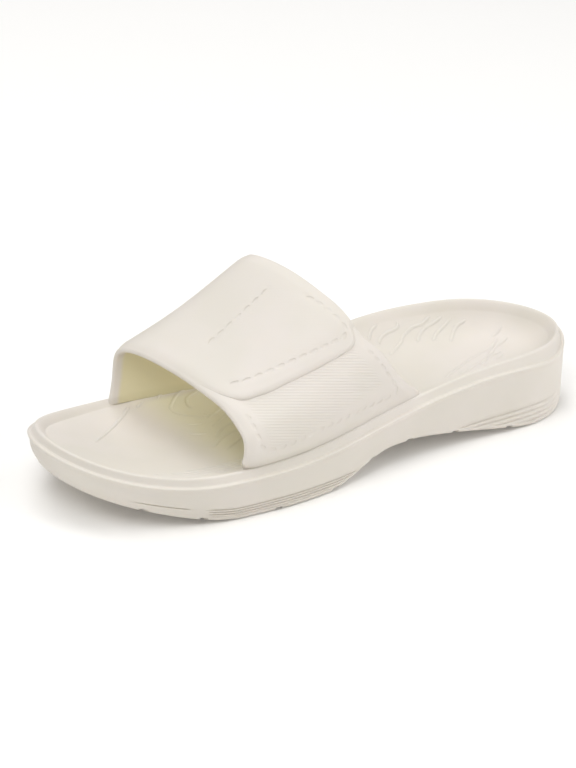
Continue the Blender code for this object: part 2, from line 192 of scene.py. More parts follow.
EDGES = [
    Edge(0.00, 0.742, 0.379),
    Edge(0.05, 0.748, 0.399),
    Edge(0.12, 0.746, 0.441),
    Edge(0.30, 0.744, 0.509),
    Edge(0.50, 0.750, 0.533),
    Edge(0.70, 0.763, 0.553),
    Edge(0.85, 0.772, 0.544),
    Edge(0.94, 0.775, 0.490),
    Edge(1.00, 0.788, 0.437),
]

# Crown of the strap: share of the length, and height as a share of the instep's
CROWN = [(0.34, 1.11), (0.46, 1.12), (0.55, 1.00), (0.66, 0.767), (0.75, 0.617), (0.83, 0.52)]

# Fall of the footbed from the rim's inner edge: share of the way in, and of the fall
BED_FALL = [(0.0, 0.0), (0.07, 0.24), (0.15, 0.46), (0.28, 0.72), (0.50, 0.92), (1.0, 1.0)]

# The flap's lower edge on the strap
FLAP_EDGE = [
    Knot(0.515, 0.00),
    Knot(0.456, 0.02),
    Knot(0.399, 0.06),
    Knot(0.367, 0.104),
    Knot(0.346, 0.184),
    Knot(0.330, 0.27),
    Knot(0.315, 0.39),
    Knot(0.299, 0.50),
    Knot(0.266, 0.72),
    Knot(0.248, 0.90),
    Knot(0.246, 1.00),
]

# Tread grooves across the underside: share of the length
TREAD = [0.905, 0.818, 0.683, 0.565, 0.48, 0.397, 0.297, 0.182]


# Raised lines of the footbed at the toe, under the ball, beside the arch and in the heel: plan
# points in millimetres
RIB_LINES: list[Row] = [
    ((-41, -76), (-35, -83), (-27, -94), (-15, -111)),
    ((-42, -67), (-38, -74)),
    ((-46, -52), (-40, -61)),
    ((-41, -44), (-39, -51), (-32, -59), (-27, -60), (-21, -55), (-17, -49), (-18, -44)),
    ((-38, -38), (-35, -48), (-28, -51), (-26, -49)),
    ((-16, -63), (-13, -59), (-11, -53)),
    ((-6, -66), (-3, -63), (-1, -57)),
    ((-21, -36), (-14, -50)),
    ((-16, -35), (-11, -44), (-5, -53)),
    ((-6, -38), (-3, -48), (5, -59)),
    ((2, -44), (6, -55), (13, -65)),
    ((10, -46), (18, -61)),
    ((-35, 96), (-33, 89), (-33, 83), (-30, 75), (-28, 74), (-25, 69), (-20, 60)),
    ((-33, 102), (-32, 96), (-31, 89), (-28, 84), (-24, 80)),
    ((-31, 106), (-29, 100), (-27, 94), (-22, 88)),
    ((-27, 113), (-27, 106), (-23, 101), (-18, 96)),
    ((-37, 76), (-35, 77), (-34, 75), (-33, 67), (-31, 62), (-28, 60)),
    ((-37, 65), (-35, 59), (-33, 58), (-31, 55)),
    ((-14, 125), (-12, 116)),
    ((-10, 119), (-4, 110), (1, 94), (9, 78), (14, 68)),
    ((-7, 123), (-3, 112), (4, 102), (12, 84), (15, 76)),
    ((2, 112), (4, 103), (11, 92)),
    ((5, 111), (9, 103)),
]

# Rows of stitches along the flap, on its fold and round the near panel: place and share across
STITCH_ROWS: list[Row] = [
    ((0.444, 0.130), (0.422, 0.190), (0.396, 0.330), (0.362, 0.518), (0.334, 0.662),
     (0.312, 0.790), (0.300, 0.880), (0.300, 0.930), (0.318, 0.948), (0.384, 0.950),
     (0.432, 0.944), (0.516, 0.920)),
    ((0.608, 0.28), (0.610, 0.55), (0.610, 0.83)),
    ((0.312, 0.072), (0.264, 0.062), (0.164, 0.062), (0.120, 0.080), (0.104, 0.118),
     (0.100, 0.206), (0.098, 0.390), (0.086, 0.586), (0.075, 0.760), (0.067, 0.880),
     (0.076, 0.940), (0.098, 0.958), (0.152, 0.958), (0.228, 0.962)),
]

# Rings before and past the flap's lower edge, in millimetres from it
NEAR_RINGS = [7, 5.5, 4.2, 3.2, 2.4, 1.8, 1.3, 0.9, 0.6, 0.35, 0.15]
PAST_RINGS = [0.02, 0.1, 0.25, 0.45, 0.7, 1.0, 1.4, 2, 2.8, 3.8, 5, 6.5]

# Columns beside the flap's back edge, in column steps from it
BACK_COLUMNS = [-9, -7.5, -6, -4.5, -3, -2, -1.2, -0.6, -0.2, 0.1, 0.4, 0.8]


class Softbox(NamedTuple):
    """Soft light: angles over the floor and round the shoe in degrees, and power in watts."""

    name: str
    lift: float
    turn: float
    power: float


SOFTBOXES = [
    Softbox("back_softbox", 55, 264, 14),
    Softbox("front_softbox", 55, 24, 18),
    Softbox("side_softbox", 20, 144, 16),
    Softbox("heel_softbox", 55, 144, 7),
    Softbox("low_softbox", 20, 24, 5),
    Softbox("top_softbox", 88, 24, 9),
]


def natural(knots: Any, values: Any) -> Curve:
    """Make a smooth curve through a short table, with free ends.

    Args:
        knots: Places of the table's rows, rising.
        values: Values at those places.

    Returns:
        Function of the place, held at the ends.
    """
    knots = np.asarray(knots, float)
    values = np.asarray(values, float)
    count = len(knots)
    step = np.diff(knots)
    slope = np.diff(values) / step
    matrix = np.eye(count)
    side = np.zeros(count)
    for i in range(1, count - 1):
        matrix[i, i - 1:i + 2] = step[i - 1], 2 * (step[i - 1] + step[i]), step[i]
        side[i] = 6 * (slope[i] - slope[i - 1])
    bend = np.linalg.solve(matrix, side)

    def curve(at: np.ndarray) -> np.ndarray:
        """Read the curve.

        Args:
            at: Places on it.

        Returns:
            Values at those places.
        """
        at = np.clip(at, knots[0], knots[-1])
        i = np.clip(np.searchsorted(knots, at, side="right") - 1, 0, count - 2)
        past = at - knots[i]
        left = step[i] - past
        cubic = (bend[i] * left ** 3 + bend[i + 1] * past ** 3) / (6 * step[i])
        start = (values[i] / step[i] - bend[i] * step[i] / 6) * left
        return cubic + start + (values[i + 1] / step[i] - bend[i + 1] * step[i] / 6) * past

    return curve


def column(table: list[Any], name: str) -> np.ndarray:
    """Column of a table by its name."""
    return np.array([getattr(row, name) for row in table])


def ease(value: np.ndarray) -> np.ndarray:
    """Smooth step from 0 to 1."""
    value = np.clip(value, 0, 1)
    return value * value * (3 - 2 * value)


def unit(vectors: np.ndarray) -> np.ndarray:
    """Vectors scaled to length 1."""
    return vectors / np.linalg.norm(vectors, axis=-1, keepdims=True)


def hump(along: np.ndarray, span: Span) -> np.ndarray:
    """1 in the middle of a span of the length, 0 outside it, eased between."""
    rise = ease((along - span.start) / (span.full - span.start))
    return rise * (1 - ease((along - span.fall) / (span.end - span.fall)))


def rounded_line(points: np.ndarray, spacing: float, passes: int) -> np.ndarray:
    """Run a line straight from point to point, with its corners rounded.

    Args:
        points: Ends and corners, in any number of dimensions.
        spacing: Distance between the points of the new line.
        passes: How often each point moves half way to the middle of its neighbours.

    Returns:
        Points of the line.
    """
    points = np.asarray(points, float)
    run = np.concatenate([[0], np.cumsum(np.linalg.norm(np.diff(points, axis=0), axis=1))])
    at = np.linspace(0, run[-1], max(3, round(run[-1] / spacing) + 1))
    line = np.stack([np.interp(at, run, points[:, axis]) for axis in range(points.shape[1])], -1)
    for _ in range(passes):
        line[1:-1] = (line[:-2] + 2 * line[1:-1] + line[2:]) / 4
    return line


def bend_grid(mesh: bmesh.types.BMesh, rows: np.ndarray) -> None:
    """Make a flat grid, bend it onto closed rings of points and join its seam and poles.

    Args:
        mesh: Mesh that the grid is added to.
        rows: Rings of points, as rings by points by 3.
    """
    rows = np.concatenate([rows, rows[:, :1]], axis=1)
    high, wide = rows.shape[:2]
    made = bmesh.ops.create_grid(mesh, x_segments=wide - 1, y_segments=high - 1, size=1)["verts"]
    made = sorted(made, key=lambda vert: (round(vert.co.y, 5), vert.co.x))
    for vert, place in zip(made, rows.reshape(-1, 3)):
        vert.co = place
    bmesh.ops.remove_doubles(mesh, verts=made, dist=0.004 * MM)


def link_object(name: str, data: Any) -> bpy.types.Object:
    """Make an object and link it to the scene.

    Args:
        name: Its name.
        data: Its mesh, camera or light.

    Returns:
        The new object.
    """
    made = bpy.data.objects.new(name, data)
    bpy.context.scene.collection.objects.link(made)
    return made


def object_from(name: str, mesh: bmesh.types.BMesh, material: bpy.types.Material) -> bpy.types.Object:
    """Turn a bmesh into an object with outward faces and its material.

    Args:
        name: Name of the piece.
        mesh: Its mesh, which is freed.
        material: Its finish.

    Returns:
        The new object, linked to the scene.
    """
    bmesh.ops.recalc_face_normals(mesh, faces=mesh.faces)
    data = bpy.data.meshes.new(name)
    mesh.to_mesh(data)
    mesh.free()
    data.materials.append(material)
    return link_object(name, data)


def carve(piece: bpy.types.Object, cutter: bmesh.types.BMesh) -> None:
    """Cut a mesh of closed cutters out of a piece, and keep the result as its own mesh.

    Args:
        piece: Object to cut.
        cutter: Mesh of the cutters, which is freed.
    """
    bmesh.ops.recalc_face_normals(cutter, faces=cutter.faces)
    data = bpy.data.meshes.new("cutters")
    cutter.to_mesh(data)
    cutter.free()
    tool = link_object("cutters", data)
    cut = piece.modifiers.new("carve", "BOOLEAN")
    cut.operation = "DIFFERENCE"
    cut.solver = "EXACT"
    cut.object = tool
    bpy.context.view_layer.update()
    whole = piece.evaluated_get(bpy.context.evaluated_depsgraph_get())
    piece.data = bpy.data.meshes.new_from_object(whole)
    piece.modifiers.clear()
    bpy.data.objects.remove(tool, do_unlink=True)


def mark(piece: bpy.types.Object, name: str, values: np.ndarray) -> None:
    """Keep a value at each vertex of a piece, for its material to read."""
    layer = piece.data.attributes.new(name, "FLOAT", "POINT")
    layer.data.foreach_set("value", values.astype(np.float32))


def corners(piece: bpy.types.Object) -> np.ndarray:
    """Read the places of a piece's vertices.

    Args:
        piece: The piece.

    Returns:
        Places, as vertices by 3.
    """
    places = np.zeros(3 * len(piece.data.vertices), np.float32)
    piece.data.vertices.foreach_get("co", places)
    return places.reshape(-1, 3)


def paint(piece: bpy.types.Object, rings: np.ndarray, marks: dict[str, np.ndarray]) -> None:
    """Mark each vertex of a piece with the values of the nearest point of its rings.

    Args:
        piece: Piece to mark.
        rings: Rings of points that it was bent onto.
        marks: Values at those points, by name.
    """
    places = rings.reshape(-1, 3)
    tree = KDTree(len(places))
    for number, place in enumerate(places):
        tree.insert(place, number)
    tree.balance()
    nearest = [tree.find(place)[1] for place in corners(piece)]
    for name, values in marks.items():
        mark(piece, name, values.reshape(-1)[nearest])


def shade(piece: bpy.types.Object, sharp_angle: float) -> None:
    """Shade a piece smooth, with creases where its faces meet at more than an angle in degrees."""
    piece.data.shade_smooth()
    piece.data.set_sharp_from_angle(angle=math.radians(sharp_angle))


def settle(piece: bpy.types.Object, slot: str, *nodes: str) -> None:
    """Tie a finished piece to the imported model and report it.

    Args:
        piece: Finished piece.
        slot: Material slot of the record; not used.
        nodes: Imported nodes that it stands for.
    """
    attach(piece, "root")
    if nodes:
        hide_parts(*nodes)
    LOG.info("%s: %d faces", piece.name, len(piece.data.polygons))


def bearing(lift: float, turn: float) -> Vector:
    """Find the direction of a camera or a light as the shoe sees it.

    Args:
        lift: Degrees over the floor.
        turn: Degrees round the shoe, 0 in front of the toe.

    Returns:
        Vector of length 1.
    """
    lift, turn = math.radians(lift), math.radians(turn)
    return Vector((math.sin(turn) * math.cos(lift), -math.cos(turn) * math.cos(lift), math.sin(lift)))


def linear(hex_colour: str) -> tuple[float, float, float, float]:
    """Turn an sRGB hex value such as #E9E0D2 to a linear colour.

    Args:
        hex_colour: The hex value.

    Returns:
        Linear red, green and blue, with alpha 1.
    """
    levels = [int(hex_colour[i:i + 2], 16) / 255 for i in (1, 3, 5)]
    values = [v / 12.92 if v <= 0.04045 else ((v + 0.055) / 1.055) ** 2.4 for v in levels]
    return (*values, 1.0)


def add_node(
        tree: bpy.types.NodeTree, kind: str, settings: dict[Any, Any],
        links: dict[Any, bpy.types.NodeSocket]) -> bpy.types.Node:
    """Add a node, set its options and inputs, and link what feeds it.

    Args:
        tree: Node tree of a material or a world.
        kind: Type name of the node.
        settings: Options by name, and input values by socket name or number.
        links: Output sockets by the input that each feeds.

    Returns:
        The new node.
    """
    made = tree.nodes.new(kind)
    for key, value in settings.items():
        if isinstance(key, str) and hasattr(made, key):
            setattr(made, key, value)
        else:
            made.inputs[key].default_value = value
    for key, socket in links.items():
        tree.links.new(socket, made.inputs[key])
    return made


@dataclass(frozen=True)
class MouldedFoam:
    """Injection moulded EVA foam: closed-cell rubbery foam with the fine matt skin of its mould.

    It gives the eye an even, soft, slightly see-into cream with no hard shine.  Where its mark says,
    the olive tint of light that bounces between the foam's own faces under the strap is painted into
    its colour.
    """

    name: str
    painted_bounce_mark: str
    cast: str
    colour: str = "#E2DBD3"
    cloud: str = "#DED8CE"
    roughness: float = 0.52
    ior: float = 1.49
    skin_grain: float = 0.7 * MM
    cloud_size: float = 38 * MM
    skin_depth: float = 0.012 * MM
    cloud_low: float = 0.38
    cloud_high: float = 0.62
    specular: float = 0.4
    depth_weight: float = 0.12
    depth_scale: float = 2.5 * MM
    depth_radius: tuple[float, float, float] = (1.0, 0.85, 0.6)
    gloss_patch: float = 6 * MM
    gloss_spread: float = 0.05

    def tint(self, tree: bpy.types.NodeTree, place: bpy.types.NodeSocket) -> bpy.types.NodeSocket:
        """Mottle the foam between its two close tones, and paint in the olive bounce light where its
        mark says.

        Args:
            tree: The material's node tree.
            place: Socket with the place on the piece.

        Returns:
            Socket with the colour.
        """
        clouds = add_node(tree, "ShaderNodeTexNoise", {"Scale": 1 / self.cloud_size, "Detail": 2.0},
                          {"Vector": place})
        ramp = add_node(tree, "ShaderNodeMapRange",
                        {"From Min": self.cloud_low, "From Max": self.cloud_high},
                        {"Value": clouds.outputs[0]})
        plain = add_node(tree, "ShaderNodeMix", {"data_type": "RGBA", 6: linear(self.colour),
                                                 7: linear(self.cloud)}, {0: ramp.outputs[0]})
        # Painted bounce light: the mark's share of the olive tint of light bouncing under the strap
        painted_bounce_share = add_node(tree, "ShaderNodeAttribute", {"attribute_name": self.painted_bounce_mark}, {})
        mix = add_node(tree, "ShaderNodeMix", {"data_type": "RGBA", 7: linear(self.cast)},
                       {0: painted_bounce_share.outputs["Fac"], 6: plain.outputs[2]})
        return mix.outputs[2]

    def relief(self, tree: bpy.types.NodeTree, place: bpy.types.NodeSocket) -> bpy.types.NodeSocket:
        """Give the surface the fine pebble of the mould's skin.

        Args:
            tree: The material's node tree.
            place: Socket with the place on the piece.

        Returns:
            Socket with the bumped normal.
        """
        grain = add_node(tree, "ShaderNodeTexNoise",
                         {"Scale": 1 / self.skin_grain, "Detail": 1.5, "Roughness": 0.45},
                         {"Vector": place})
        bump = add_node(tree, "ShaderNodeBump", {"Strength": 1.0, "Distance": self.skin_depth},
                        {"Height": grain.outputs[0]})
        return bump.outputs[0]

    def material(self) -> bpy.types.Material:
        """Build the material.

        Returns:
            Material with the foam's colour, gloss and skin.
        """
        made = bpy.data.materials.new(self.name)
        made.use_nodes = True
        tree = made.node_tree
        shader = tree.nodes["Principled BSDF"]
        place = add_node(tree, "ShaderNodeTexCoord", {}, {}).outputs["Object"]
        shader.inputs["IOR"].default_value = self.ior
        shader.inputs["Specular IOR Level"].default_value = self.specular
        shader.inputs["Subsurface Weight"].default_value = self.depth_weight
        shader.inputs["Subsurface Scale"].default_value = self.depth_scale
        shader.inputs["Subsurface Radius"].default_value = self.depth_radius
        tree.links.new(self.tint(tree, place), shader.inputs["Base Color"])
        tree.links.new(self.relief(tree, place), shader.inputs["Normal"])
        sheen = add_node(tree, "ShaderNodeTexNoise", {"Scale": 1 / self.gloss_patch, "Detail": 2.0},
                         {"Vector": place})
        spread = add_node(tree, "ShaderNodeMapRange",
                          {"To Min": self.roughness - self.gloss_spread,
                           "To Max": self.roughness + self.gloss_spread}, {"Value": sheen.outputs[0]})
        tree.links.new(spread.outputs[0], shader.inputs["Roughness"])
        return made


@dataclass(frozen=True)
class RibbedFoam(MouldedFoam):
    """The strap's foam, with fine level ribs moulded into its panels."""

    rib_pitch: float = 1.3 * MM
    rib_depth: float = 0.05 * MM
    rib_way: tuple[float, float, float] = (-0.358, 0.209, 0.910)

    def relief(self, tree: bpy.types.NodeTree, place: bpy.types.NodeSocket) -> bpy.types.NodeSocket:
        """Add the panels' ribs, a sine across bands that lie nearly level, to the skin.

        Args:
            tree: The material's node tree.
            place: Socket with the place on the piece.

        Returns:
            Socket with the bumped normal.
        """
        skin = super().relief(tree, place)
        way = [2 * math.pi / self.rib_pitch * share for share in self.rib_way]
        phase = add_node(tree, "ShaderNodeVectorMath", {"operation": "DOT_PRODUCT", 1: way}, {0: place})
        wave = add_node(tree, "ShaderNodeMath", {"operation": "SINE"}, {0: phase.outputs["Value"]})
        panel = add_node(tree, "ShaderNodeAttribute", {"attribute_name": "ribbed"}, {})
        height = add_node(tree, "ShaderNodeMath", {"operation": "MULTIPLY"},
                          {0: wave.outputs[0], 1: panel.outputs["Fac"]})
        bump = add_node(tree, "ShaderNodeBump", {"Strength": 1.0, "Distance": self.rib_depth},
                        {"Height": height.outputs[0], "Normal": skin})
        return bump.outputs[0]


@dataclass
class Last:
    """Sizes of the last, with the outline, heights and underside that follow from them."""

    length: float
    ball_width: float = 104.4 * MM
    heel_height: float = 38.5 * MM
    ball_height: float = 24.2 * MM
    toe_spring: float = 16 * MM
    arch_rise: float = 10.5 * MM
    instep_height: float = 90 * MM
    heel_bed: float = 24.5 * MM
    ball_bed: float = 19.5 * MM
    bead_drop: float = 4.3 * MM
    undercut: float = 3.5 * MM
    groove_pitch: float = 1.4 * MM
    heel_bevel: float = 4.5 * MM
    heel_shift: float = 0.03
    toe_shift: float = -0.15
    heel_bevel_end: float = 0.085
    heel_bevel_power: float = 1.5
    toe_break: float = 0.76
    toe_power: float = 1.3
    spine_heel: float = 0.36
    spine_toe: float = 0.42
    arch_span: Span = Span(0.13, 0.38, 0.43, 0.585)
    arch_ramp: float = 0.75
    inner_rise: float = 3.8 * MM
    inner_span: Span = Span(0.14, 0.36, 0.43, 0.64)

    def __post_init__(self) -> None:
        """Work out the curves once."""
        self.half_width = self.outline_curve()
        self.fine = np.linspace(0, 2 * math.pi, 1441)
        widths = self.half_width(self.fine)
        self.centre = (widths.max() + widths.min()) / 2
        along = column(HEIGHTS, "along")
        heel, ball, toe = (column(HEIGHTS, name) for name in ("heel", "ball", "toe"))
        rim = self.heel_height * heel + self.ball_height * ball + self.toe_spring * toe
        bed = self.heel_bed * column(HEIGHTS, "heel_bed") + self.ball_bed * column(HEIGHTS, "ball_bed")
        self.rim = natural(along, rim)
        self.bed = natural(along, bed)
        self.drop = natural(along, self.bead_drop * column(HEIGHTS, "bead"))
        self.tuck = natural(along, self.undercut * column(HEIGHTS, "undercut"))
        self.hollow = natural(along, column(HEIGHTS, "hollow"))
        self.lean = natural(along, column(HEIGHTS, "lean"))
        self.pitch = natural(along, self.groove_pitch * column(HEIGHTS, "pitch"))

    def outline_curve(self) -> Curve:
        """Make the outline's curve.

        Returns:
            Half width against the angle, which is 0 at the heel and pi at the toe.
        """
        turn = 2 * math.pi
        outer = np.arccos(1 - 2 * column(OUTLINE, "along"))
        angles = np.concatenate([[0.0], outer, [math.pi], turn - outer[::-1]])
        widths = np.concatenate([
            [self.heel_shift], column(OUTLINE, "lateral"), [self.toe_shift],
            -column(OUTLINE, "medial")[::-1]]) * self.ball_width / 2
        wound = np.concatenate([angles[-4:] - turn, angles, angles[:4] + turn])
        curve = natural(wound, np.concatenate([widths[-4:], widths, widths[:4]]))
        return lambda at: curve(np.mod(at, turn))

    def share_at(self, y: np.ndarray) -> np.ndarray:
        """Share of the length, from the heel, at a place along Y."""
        return 0.5 - y / self.length

    def along(self, angle: np.ndarray) -> np.ndarray:
        """Share of the length at angles round the outline."""
        return self.share_at(self.length / 2 * np.cos(angle))

    def crest(self, angle: np.ndarray) -> np.ndarray:
        """Height of the rim's crest at angles round the outline, more beside the inner arch."""
        along = self.along(angle)
        return self.rim(along) + self.inner_rise * hump(along, self.inner_span) * (np.sin(angle) < 0)

    def bead_line(self, angle: np.ndarray) -> np.ndarray:
        """Plan points of the outline, which is the bead, at angles round it."""
        return np.stack([self.half_width(angle) - self.centre, self.length / 2 * np.cos(angle)], -1)

    def outline(self, angle: np.ndarray, inset: Any) -> np.ndarray:
        """Move the outline in.

        Args:
            angle: Angles round it.
            inset: Distance inwards, one for all or one for each angle.

        Returns:
            Plan points.
        """
        step = 0.002
        ahead = unit(self.bead_line(angle + step) - self.bead_line(angle - step))
        inward = np.stack([ahead[..., 1], -ahead[..., 0]], -1)
        return self.bead_line(angle) + inward * np.broadcast_to(inset, angle.shape)[..., None]

    def arch_lift(self, along: np.ndarray) -> np.ndarray:
        """Raise the arch's hollow over the floor, on a nearly straight ramp from the heel.

        Args:
            along: Shares of the length.

        Returns:
            Heights.
        """
        span = self.arch_span
        way = np.clip((along - span.start) / (span.full - span.start), 0, 1)
        climb = self.arch_ramp * way + (1 - self.arch_ramp) * ease(way)
        return self.arch_rise * climb * (1 - ease((along - span.fall) / (span.end - span.fall)))

    def underside(self, y: np.ndarray) -> np.ndarray:
        """Shape the underside, flat under heel and ball and raised at the arch and the toe.

        Args:
            y: Places along Y.

        Returns:
            Heights.
        """
        along = self.share_at(y)
        bevel = np.clip(1 - along / self.heel_bevel_end, 0, 1) ** self.heel_bevel_power
        spring = np.clip((along - self.toe_break) / (1 - self.toe_break), 0, 1) ** self.toe_power
        return self.heel_bevel * bevel + self.arch_lift(along) + self.toe_spring * spring

    def middle_line(self, angle: np.ndarray) -> np.ndarray:
        """Find the middle line that the rings of underside and footbed shrink to.

        Args:
            angle: Angles round the outline.

        Returns:
            Plan points.
        """
        low = -self.length / 2 + self.spine_toe * self.ball_width
        high = self.length / 2 - self.spine_heel * self.ball_width
        y = np.clip(self.length / 2 * np.cos(angle), low, high)
        turn = np.arccos(2 * y / self.length)
        x = (self.half_width(turn) + self.half_width(-turn)) / 2 - self.centre
        return np.stack([x, y], -1)

    def on_rim(self, y: np.ndarray, side: Side, inset: float) -> np.ndarray:
        """Points level with the rim's crest.

        Args:
            y: Places along Y.
            side: Outer or inner side.
            inset: Distance in from the outline.

        Returns:
            Points in three dimensions.
        """
        angle = self.fine[1:len(self.fine) // 2] * side.value
        points = self.outline(angle, inset)
        order = np.argsort(points[:, 1])
        x = np.interp(y, points[order, 1], points[order, 0])
        return np.stack([x, y, np.interp(y, points[order, 1], self.crest(angle)[order])], -1)


@dataclass
class Sole:
    """The one moulding of footbed, rim, bead, grooved wall and tread."""

    last: Last
    finish: MouldedFoam
    columns: int = 384
    bead_proud: float = 3.4 * MM
    rim_width: float = 4.8 * MM
    neck_drop: float = 3.2 * MM
    edge_width: float = 3 * MM
    edge_round: float = 1.8 * MM
    groove_depth: float = 0.8 * MM
    groove_half: float = 0.3
    first_groove: float = 0.5
    side_grooves: int = 4
    crowding: float = 0.018
    tread_width: float = 4 * MM
    tread_depth: float = 1.8 * MM
    fine_tread_width: float = 1.3 * MM
    fine_tread_depth: float = 0.7 * MM
    rib_width: float = 1.9 * MM
    rib_height: float = 0.6 * MM
    rib_sink: float = 0.03 * MM
    rib_taper: float = 2.5 * MM
    # Painted glow of bounce light on the footbed under the strap: its span of the length and its fade
    # from the rim
    painted_glow_span: Span = Span(0.42, 0.52, 0.69, 0.775)
    painted_glow_fade: float = 5 * MM
    underside_steps: int = 10
    edge_steps: int = 6
    wall_steps: int = 10
    lip_steps: int = 57
    neck_share: float = 0.1
    bed_steps: int = 32
    bed_crowding: float = 1.5
    tread_bevel: float = 0.35
    tread_reach: float = 0.6
    fine_tread_reach: float = 0.55
    rib_step: float = 0.7 * MM
    rib_root: float = -0.6
    rim_lines: int = 4
    rim_line_inset: float = 13 * MM
    rim_line_gap: float = 2.6 * MM
    rim_line_start: float = 0.70
    rim_line_end: float = 0.93
    rim_line_short: float = 0.03
    rim_line_strength: float = 0.9
    crease_angle: float = 55
    rib_crease_angle: float = 80
    heel_grooves: Span = Span(0.04, 0.12, 0.27, 0.31)
    ball_grooves: Span = Span(0.46, 0.51, 0.805, 0.825)
    toe_groove: Span = Span(0.84, 0.855, 0.90, 0.94)

    def underside_rings(
            self, angle: np.ndarray, tuck: np.ndarray, spine: np.ndarray) -> list[np.ndarray]:
        """Rings from the underside's middle line out to its rounded edge.

        Args:
            angle: Angles round the outline.
            tuck: Inset of the wall's foot.
            spine: Middle line.

        Returns:
            Rings of points.
        """
        foot = self.last.outline(angle, tuck + self.edge_width)
        rings = []
        for share in np.linspace(1, 0, self.underside_steps):
            points = foot + (spine - foot) * share
            rings.append(np.column_stack([points, self.last.underside(points[:, 1])]))
        low = self.last.underside(self.last.outline(angle, tuck)[:, 1])
        for turn in np.linspace(0, math.pi / 2, self.edge_steps)[1:]:
            points = self.last.outline(angle, tuck + self.edge_width * (1 - math.sin(turn)))
            rings.append(np.column_stack([points, low + self.edge_round * (1 - math.cos(turn))]))
        return rings

    def wall_rings(
            self, angle: np.ndarray, tuck: np.ndarray, low: np.ndarray,
            top: np.ndarray) -> list[np.ndarray]:
        """Rings up the wall, close together in each rounded side groove.

        Args:
            angle: Angles round the outline.
            tuck: Inset of the wall's foot.
            low: Height of the wall's foot.
            top: Height of the neck under the bead.

        Returns:
            Rings of points.
        """
        along = self.last.along(angle)
        neck = self.bead_proud * LIP[0].proud * self.last.hollow(along)
        wall = top - low
        pitch = np.minimum(self.last.pitch(along), wall / (self.side_grooves + 2))
        lift = self.last.arch_lift(along)
        flank = self.groove_depth * ease(4 * np.abs(np.sin(angle)))
        parts = np.linspace(-1, 1, 7)
        levels = []
        for number in range(self.side_grooves):
            depth = hump(along, self.heel_grooves) + hump(along, self.ball_grooves)
            if number == self.side_grooves - 1:
                depth = depth + hump(along, self.toe_groove)
            for count, part in enumerate(parts):
                rise = pitch * (number + self.first_groove + part * self.groove_half)
                crowded = pitch * self.crowding * (len(parts) * number + count + 1)
                cut = flank * depth * ease((rise - lift) / self.last.groove_pitch)
                rounded = math.cos(part * math.pi / 2) ** 2
                levels.append((np.maximum(rise - lift, crowded), cut * rounded))
        last_rise = levels[-1][0]
        for share in np.linspace(0, 1, self.wall_steps)[1:-1]:
            levels.append((last_rise + (wall - last_rise) * share, 0 * wall))
        rings = []
        for rise, cut in levels:
            share = rise / wall
            inset = neck + (tuck - neck) * (1 - share) ** 2
            rings.append(np.column_stack([self.last.outline(angle, inset + cut), low + rise]))
        return rings

    def lip_rings(self, angle: np.ndarray, bead: np.ndarray, rim: np.ndarray) -> list[np.ndarray]:
        """Rings of the neck, bead, channel and rim, on a smooth profile.

        Args:
            angle: Angles round the outline.
            bead: Height of the bead.
            rim: Height of the rim's crest.

        Returns:
            Rings of points.
        """
        along = self.last.along(angle)
        rows = np.arange(len(LIP))
        fine = np.linspace(0, len(LIP) - 1, self.lip_steps)
        proud, width, rise, neck, sag = (natural(rows, column(LIP, name))(fine) for name in Lip._fields)
        rings = []
        for i in range(len(fine)):
            hollow = np.where(neck[i] > self.neck_share, self.last.hollow(along), 1)
            inset = self.bead_proud * proud[i] * hollow + self.rim_width * width[i]
            points = self.last.outline(angle, inset)
            fall = self.neck_drop * neck[i] + self.rim_width * sag[i] * self.last.lean(along)
            height = bead + (rim - bead) * rise[i] - fall
            rings.append(np.column_stack([points, height]))
        return rings

    def bed_rings(self, lip: np.ndarray, spine: np.ndarray) -> list[np.ndarray]:
        """Rings from the rim's inner edge down the footbed to its middle line.

        Args:
            lip: Ring of the rim's inner edge.
            spine: Middle line.

        Returns:
            Rings of points.
        """
        fall = natural(*zip(*BED_FALL))
        rings = []
        for step in np.linspace(0, 1, self.bed_steps)[1:]:
            way = step ** self.bed_crowding
            points = lip[:, :2] + (spine - lip[:, :2]) * way
            bed = self.last.bed(self.last.share_at(points[:, 1]))
            rings.append(np.column_stack([points, lip[:, 2] + (bed - lip[:, 2]) * fall(way)]))
        return rings

    def shell(self) -> bmesh.types.BMesh:
        """Bend one grid round the whole sole.

        Returns:
            Closed mesh of the sole before its tread is cut.
        """
        angle = np.linspace(0, 2 * math.pi, self.columns, endpoint=False)
        along = self.last.along(angle)
        rim = self.last.crest(angle)
        bead = rim - self.last.drop(along)
        tuck = self.last.tuck(along)
        spine = self.last.middle_line(angle)
        low = self.last.underside(self.last.outline(angle, tuck)[:, 1]) + self.edge_round
        rings = self.underside_rings(angle, tuck, spine)
        rings += self.wall_rings(angle, tuck, low, bead - self.neck_drop)
        rings += self.lip_rings(angle, bead, rim)
        rings += self.bed_rings(rings[-1], spine)
        mesh = bmesh.new()
        bend_grid(mesh, np.array(rings))
        return mesh

    def tread_bar(
            self, mesh: bmesh.types.BMesh, y: float, half: float, width: float, depth: float) -> None:
        """Add one bevelled bar that cuts a groove across the underside.

        Args:
            mesh: Mesh of the cutters.
            y: Place of the groove.
            half: Half length of the bar.
            width: Width of the groove.
            depth: Depth of the groove.
        """
        slope = math.atan2(self.last.underside(y + MM) - self.last.underside(y - MM), 2 * MM)
        bar = bmesh.ops.create_cube(mesh, size=1)["verts"]
        bmesh.ops.scale(mesh, vec=(2 * half, width, 2 * depth), verts=bar)
        edges = {edge for vert in bar for edge in vert.link_edges}
        top = [edge for edge in edges if edge.verts[0].co.z > 0 < edge.verts[1].co.z]
        bevelled = bmesh.ops.bevel(mesh, geom=top, offset=self.tread_bevel * depth, affect="EDGES",
                                   segments=3, profile=0.5, material=-1)
        bar = list({vert for vert in bar if vert.is_valid} | set(bevelled["verts"]))
        bmesh.ops.rotate(mesh, matrix=Matrix.Rotation(slope, 3, "X"), verts=bar)
        bmesh.ops.translate(mesh, vec=(0, y, float(self.last.underside(y))), verts=bar)

